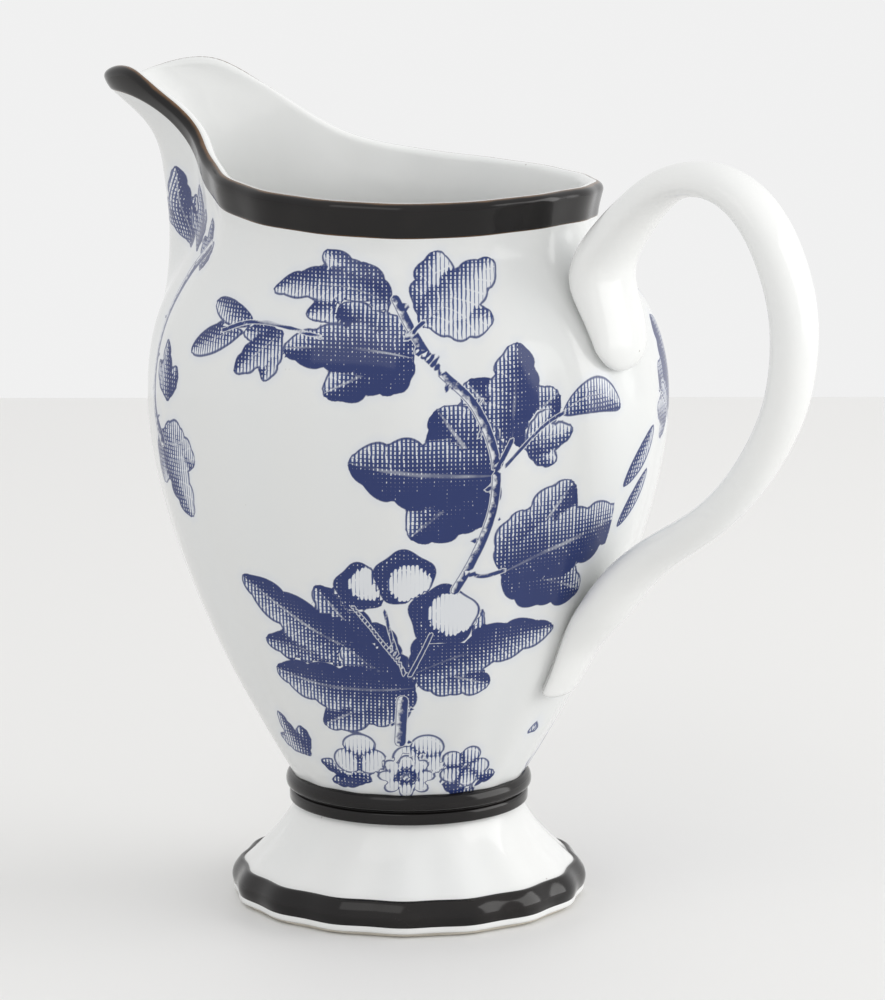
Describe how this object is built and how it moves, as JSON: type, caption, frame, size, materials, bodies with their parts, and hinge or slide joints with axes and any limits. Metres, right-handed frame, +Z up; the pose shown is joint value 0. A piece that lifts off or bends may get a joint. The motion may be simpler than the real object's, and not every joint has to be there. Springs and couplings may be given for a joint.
{
  "type": "cream jug",
  "caption": "Porcelain cream jug with a softly panelled body, a high swept spout, a loop handle and a spreading foot.",
  "frame": {"origin": "on the table, midway between the tip of the spout and the back of the handle", "axes": "+Z up, +X from the body towards the handle, -X towards the spout; the jug is the same on both sides of Y = 0"},
  "size_m": [0.1362, 0.0846, 0.1364],
  "materials": {
    "white_glaze": "gloss",
    "black_enamel": "gloss",
    "bare_biscuit": "matte"
  },
  "bodies": {
    "root": {"vessel_body": "white_glaze", "rim_band": "black_enamel", "waist_collar": "black_enamel", "spreading_foot": "white_glaze", "foot_edge_band": "black_enamel", "foot_ring": "bare_biscuit", "loop_handle": "white_glaze", "handle_upper_joint": "white_glaze", "handle_lower_joint": "white_glaze"}
  },
  "joints": []
}
